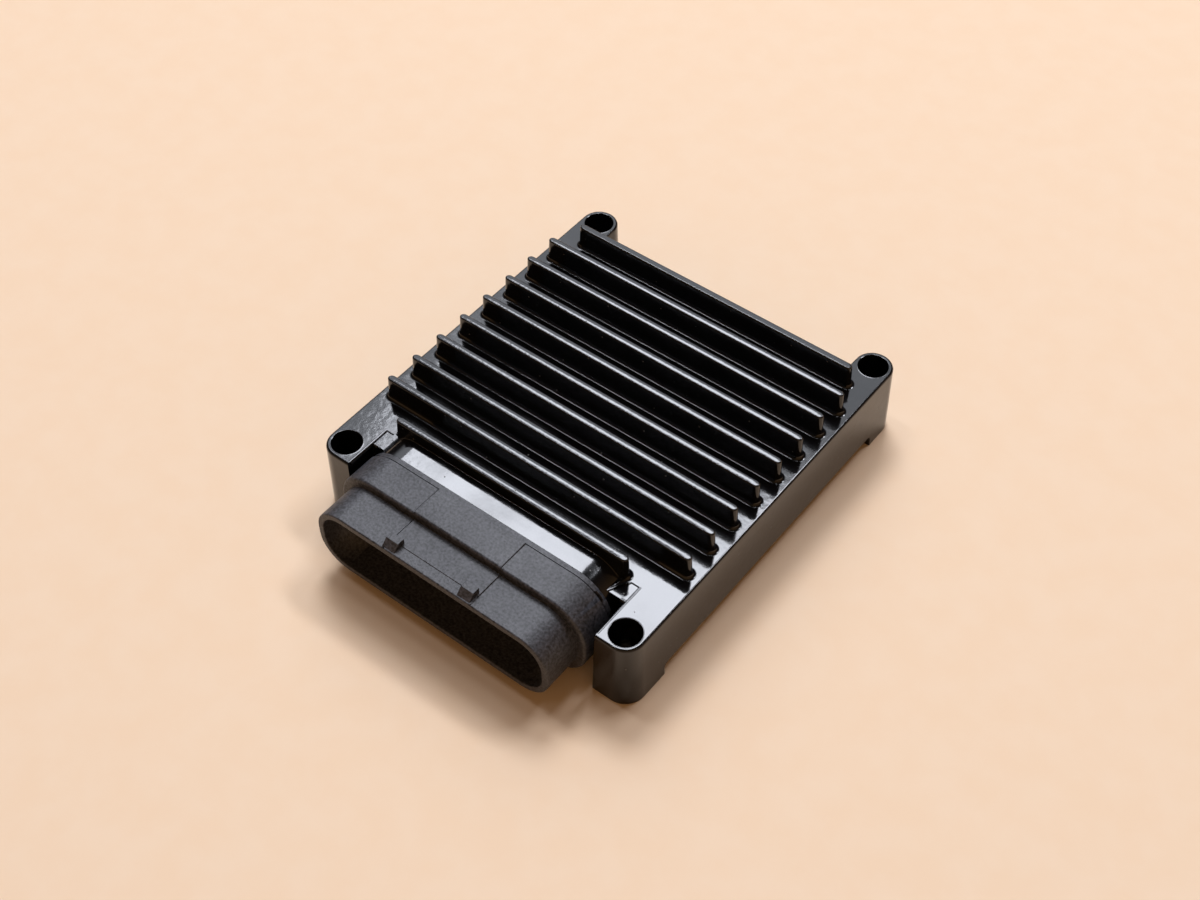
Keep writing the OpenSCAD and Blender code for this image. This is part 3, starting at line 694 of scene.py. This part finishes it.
bare_can = can_shader.inputs["Base Color"].links[0].from_socket
printed = add(drawn_aluminium, "Mix", {
    "Factor": mark, "A": bare_can, "B": linear("#1f2024")}, data_type="RGBA").outputs["Result"]
drawn_aluminium.node_tree.links.new(printed, can_shader.inputs["Base Color"])
# Ground ferrite is a dense grey ceramic with a fine sparkle.
ground_ferrite = surface("ground_ferrite", "#2a2a2d", "#414145", 0.5, (0.45, 0.68), relief=0.012)
keep("crystal", bright_tin, 0.4, 4)
keep("electrolytic_capacitors", drawn_aluminium, 0.35, 4)
keep("power_inductor", ground_ferrite, 0.3, 3)
keep("clamp_diode", moulded_epoxy, 0.2)

# Power parts: four drive transistors and the voltage regulator, whose backs press through a soft pad
# against a block under the finned plate, so that the fins cool them.
# The pad is silicone filled with ceramic powder: pale blue-grey, matte and faintly grainy.
filled_silicone = surface("filled_silicone", "#74879a", "#93a6b6", 0.7, (0.6, 0.76), relief=0.01)
keep("power_transistors", moulded_epoxy, 0.15)
keep("voltage_regulator", moulded_epoxy, 0.15)
keep("thermal_pad", filled_silicone, 0.08)

# Small chips: twelve ceramic capacitors and sixteen resistors, soldered by their tinned ends.
# Fired ceramic is tan on the capacitors and glazed black on the resistors.
chip_pitch, chip_first, chip_body = 4.0, -10.0, 0.62
for node, dark, pale in (("chip_capacitors", "#8a6d48", "#a5875f"), ("chip_resistors", "#141416", "#232326")):
    ceramic = surface("fired_ceramic_" + node, dark, pale, 0.4, (0.3, 0.45), relief=0.004)
    place = add(ceramic, "TexCoord", {}).outputs["Object"]
    along = add(ceramic, "SeparateXYZ", {"Vector": place}).outputs["X"]
    shifted = add(ceramic, "Math", {0: along, 1: -chip_first * mm}, operation="ADD").outputs["Value"]
    from_centre = add(ceramic, "Math", {
        0: shifted, 1: chip_pitch / 2 * mm}, operation="PINGPONG").outputs["Value"]
    end = add(ceramic, "Math", {0: from_centre, 1: chip_body * mm}, operation="GREATER_THAN").outputs["Value"]
    body = ceramic.node_tree.nodes["Principled BSDF"]
    fired = body.inputs["Base Color"].links[0].from_socket
    capped = add(ceramic, "Mix", {
        "Factor": end, "A": fired, "B": linear("#c4c6c8")}, data_type="RGBA").outputs["Result"]
    ceramic.node_tree.links.new(capped, body.inputs["Base Color"])
    ceramic.node_tree.links.new(end, body.inputs["Metallic"])
    keep(node, ceramic, 0.06)

# Base: four screws hold the board to its posts, then a silicone gasket and a flat cover of rolled aluminium
# close the underside, held by six screws with hexagon sockets.
# Mill-finish sheet shows fine streaks along the rolling direction.
mill_aluminium = surface(
    "mill_aluminium", "#a2a4a8", "#c2c4c6", 0.35, (0.26, 0.42), relief=0.004, metal=1.0, stretch=(0.03, 1, 1))
keep("board_screws", zinc_plate, 0.12)
keep("cover_gasket", red_silicone, 0.05)
keep("base_cover", mill_aluminium, 0.15)
keep("cover_screws", zinc_plate, 0.15, 3)

# Floor, camera and lamps: a plain warm sheet, and a large soft box behind on the left that the plate and the
# fin tops mirror. A strip on the left and a small box overhead draw the bright line along each fin's root,
# and a slim strip behind draws the right-hand edges.
bpy.ops.object.select_all(action="DESELECT")
bpy.ops.mesh.primitive_plane_add(size=6, location=(0, 0, 0))
floor = bpy.context.object
floor.name = "floor"
warm_paper = surface("warm_paper", "#efd3b4", "#f0d6b9", 9.0, (0.85, 0.95), relief=0.01)
floor.data.materials.append(warm_paper)

# The camera's place, turn and lens were solved from the fins, the plate's edges and the bolt holes.
camera = bpy.data.objects.new("camera", bpy.data.cameras.new("camera"))
camera.data.lens = 52.355
camera.data.sensor_width = 36
camera.location = (0.16172, -0.25467, 0.31129)
camera.rotation_euler = [math.radians(angle) for angle in (40.61, 0.394, 37.988)]
bpy.context.scene.collection.objects.link(camera)
bpy.context.scene.camera = camera


def direction(azimuth, elevation):
    """Unit vector for an azimuth from +Y towards +X and an elevation, in degrees."""
    a, e = math.radians(azimuth), math.radians(elevation)
    return Vector((math.sin(a) * math.cos(e), math.cos(a) * math.cos(e), math.sin(e)))


def soft_light(name, azimuth, elevation, width, height, radiance, roll=0):
    """A rectangular lamp two metres away, aimed at the middle of the unit and rolled about its aim."""
    unit_middle, distance = Vector((0, -0.05, 0.02)), 2
    lamp = bpy.data.lights.new(name, "AREA")
    lamp.shape = "RECTANGLE"
    lamp.size, lamp.size_y = width, height
    lamp.color = (0.94, 0.97, 1.06)
    lamp.energy = radiance * math.pi * width * height
    towards = direction(azimuth, elevation)
    stand = bpy.data.objects.new(name, lamp)
    stand.location = unit_middle + distance * towards
    aim = (-towards).to_track_quat("-Z", "Y")
    stand.rotation_euler = (aim @ Euler((0, 0, math.radians(roll))).to_quaternion()).to_euler()
    bpy.context.scene.collection.objects.link(stand)


soft_light("key_box", -40.0, 58.0, 0.70, 0.56, 15, roll=-20)
soft_light("roof_strip", -90, 68, 0.12, 0.4, 26)
soft_light("top_box", -25, 79, 0.26, 0.26, 14)
soft_light("edge_strip", 12, 56, 0.7, 0.2, 25)

# The room is dark above and behind, where the plate mirrors it. It takes the warm tone of the paper in
# front, and a cool glow low behind the key box fades out smoothly in the gloss of the plate.
world = bpy.data.worlds.new("room")
world.use_nodes = True
gaze = add(world, "TexCoord", {}).outputs["Generated"]
glow_at, glow_edge, glow_core = direction(-42, 44), math.radians(31), math.radians(5)
dark_room, warm_bounce, cool_glow = (0.03, 0.022, 0.016, 1), (0.46, 0.27, 0.13, 1), (2.1, 2.2, 2.4, 1)
nearness = add(world, "VectorMath", {
    0: gaze, 1: glow_at}, operation="DOT_PRODUCT").outputs["Value"]
glow = add(world, "MapRange", {
    "Value": nearness, "From Min": math.cos(glow_edge), "From Max": math.cos(glow_core)},
    interpolation_type="SMOOTHSTEP").outputs["Result"]
warmth = add(world, "MapRange", {
    "Value": nearness, "From Min": 0.75, "From Max": -0.3}, interpolation_type="SMOOTHSTEP").outputs["Result"]
bounce = add(world, "Mix", {
    "Factor": warmth, "A": dark_room, "B": warm_bounce}, data_type="RGBA").outputs["Result"]
air = add(world, "Mix", {
    "Factor": glow, "A": bounce, "B": cool_glow}, data_type="RGBA").outputs["Result"]
world.node_tree.links.new(air, world.node_tree.nodes["Background"].inputs["Color"])
bpy.context.scene.world = world
bpy.context.scene.view_settings.view_transform = "Standard"
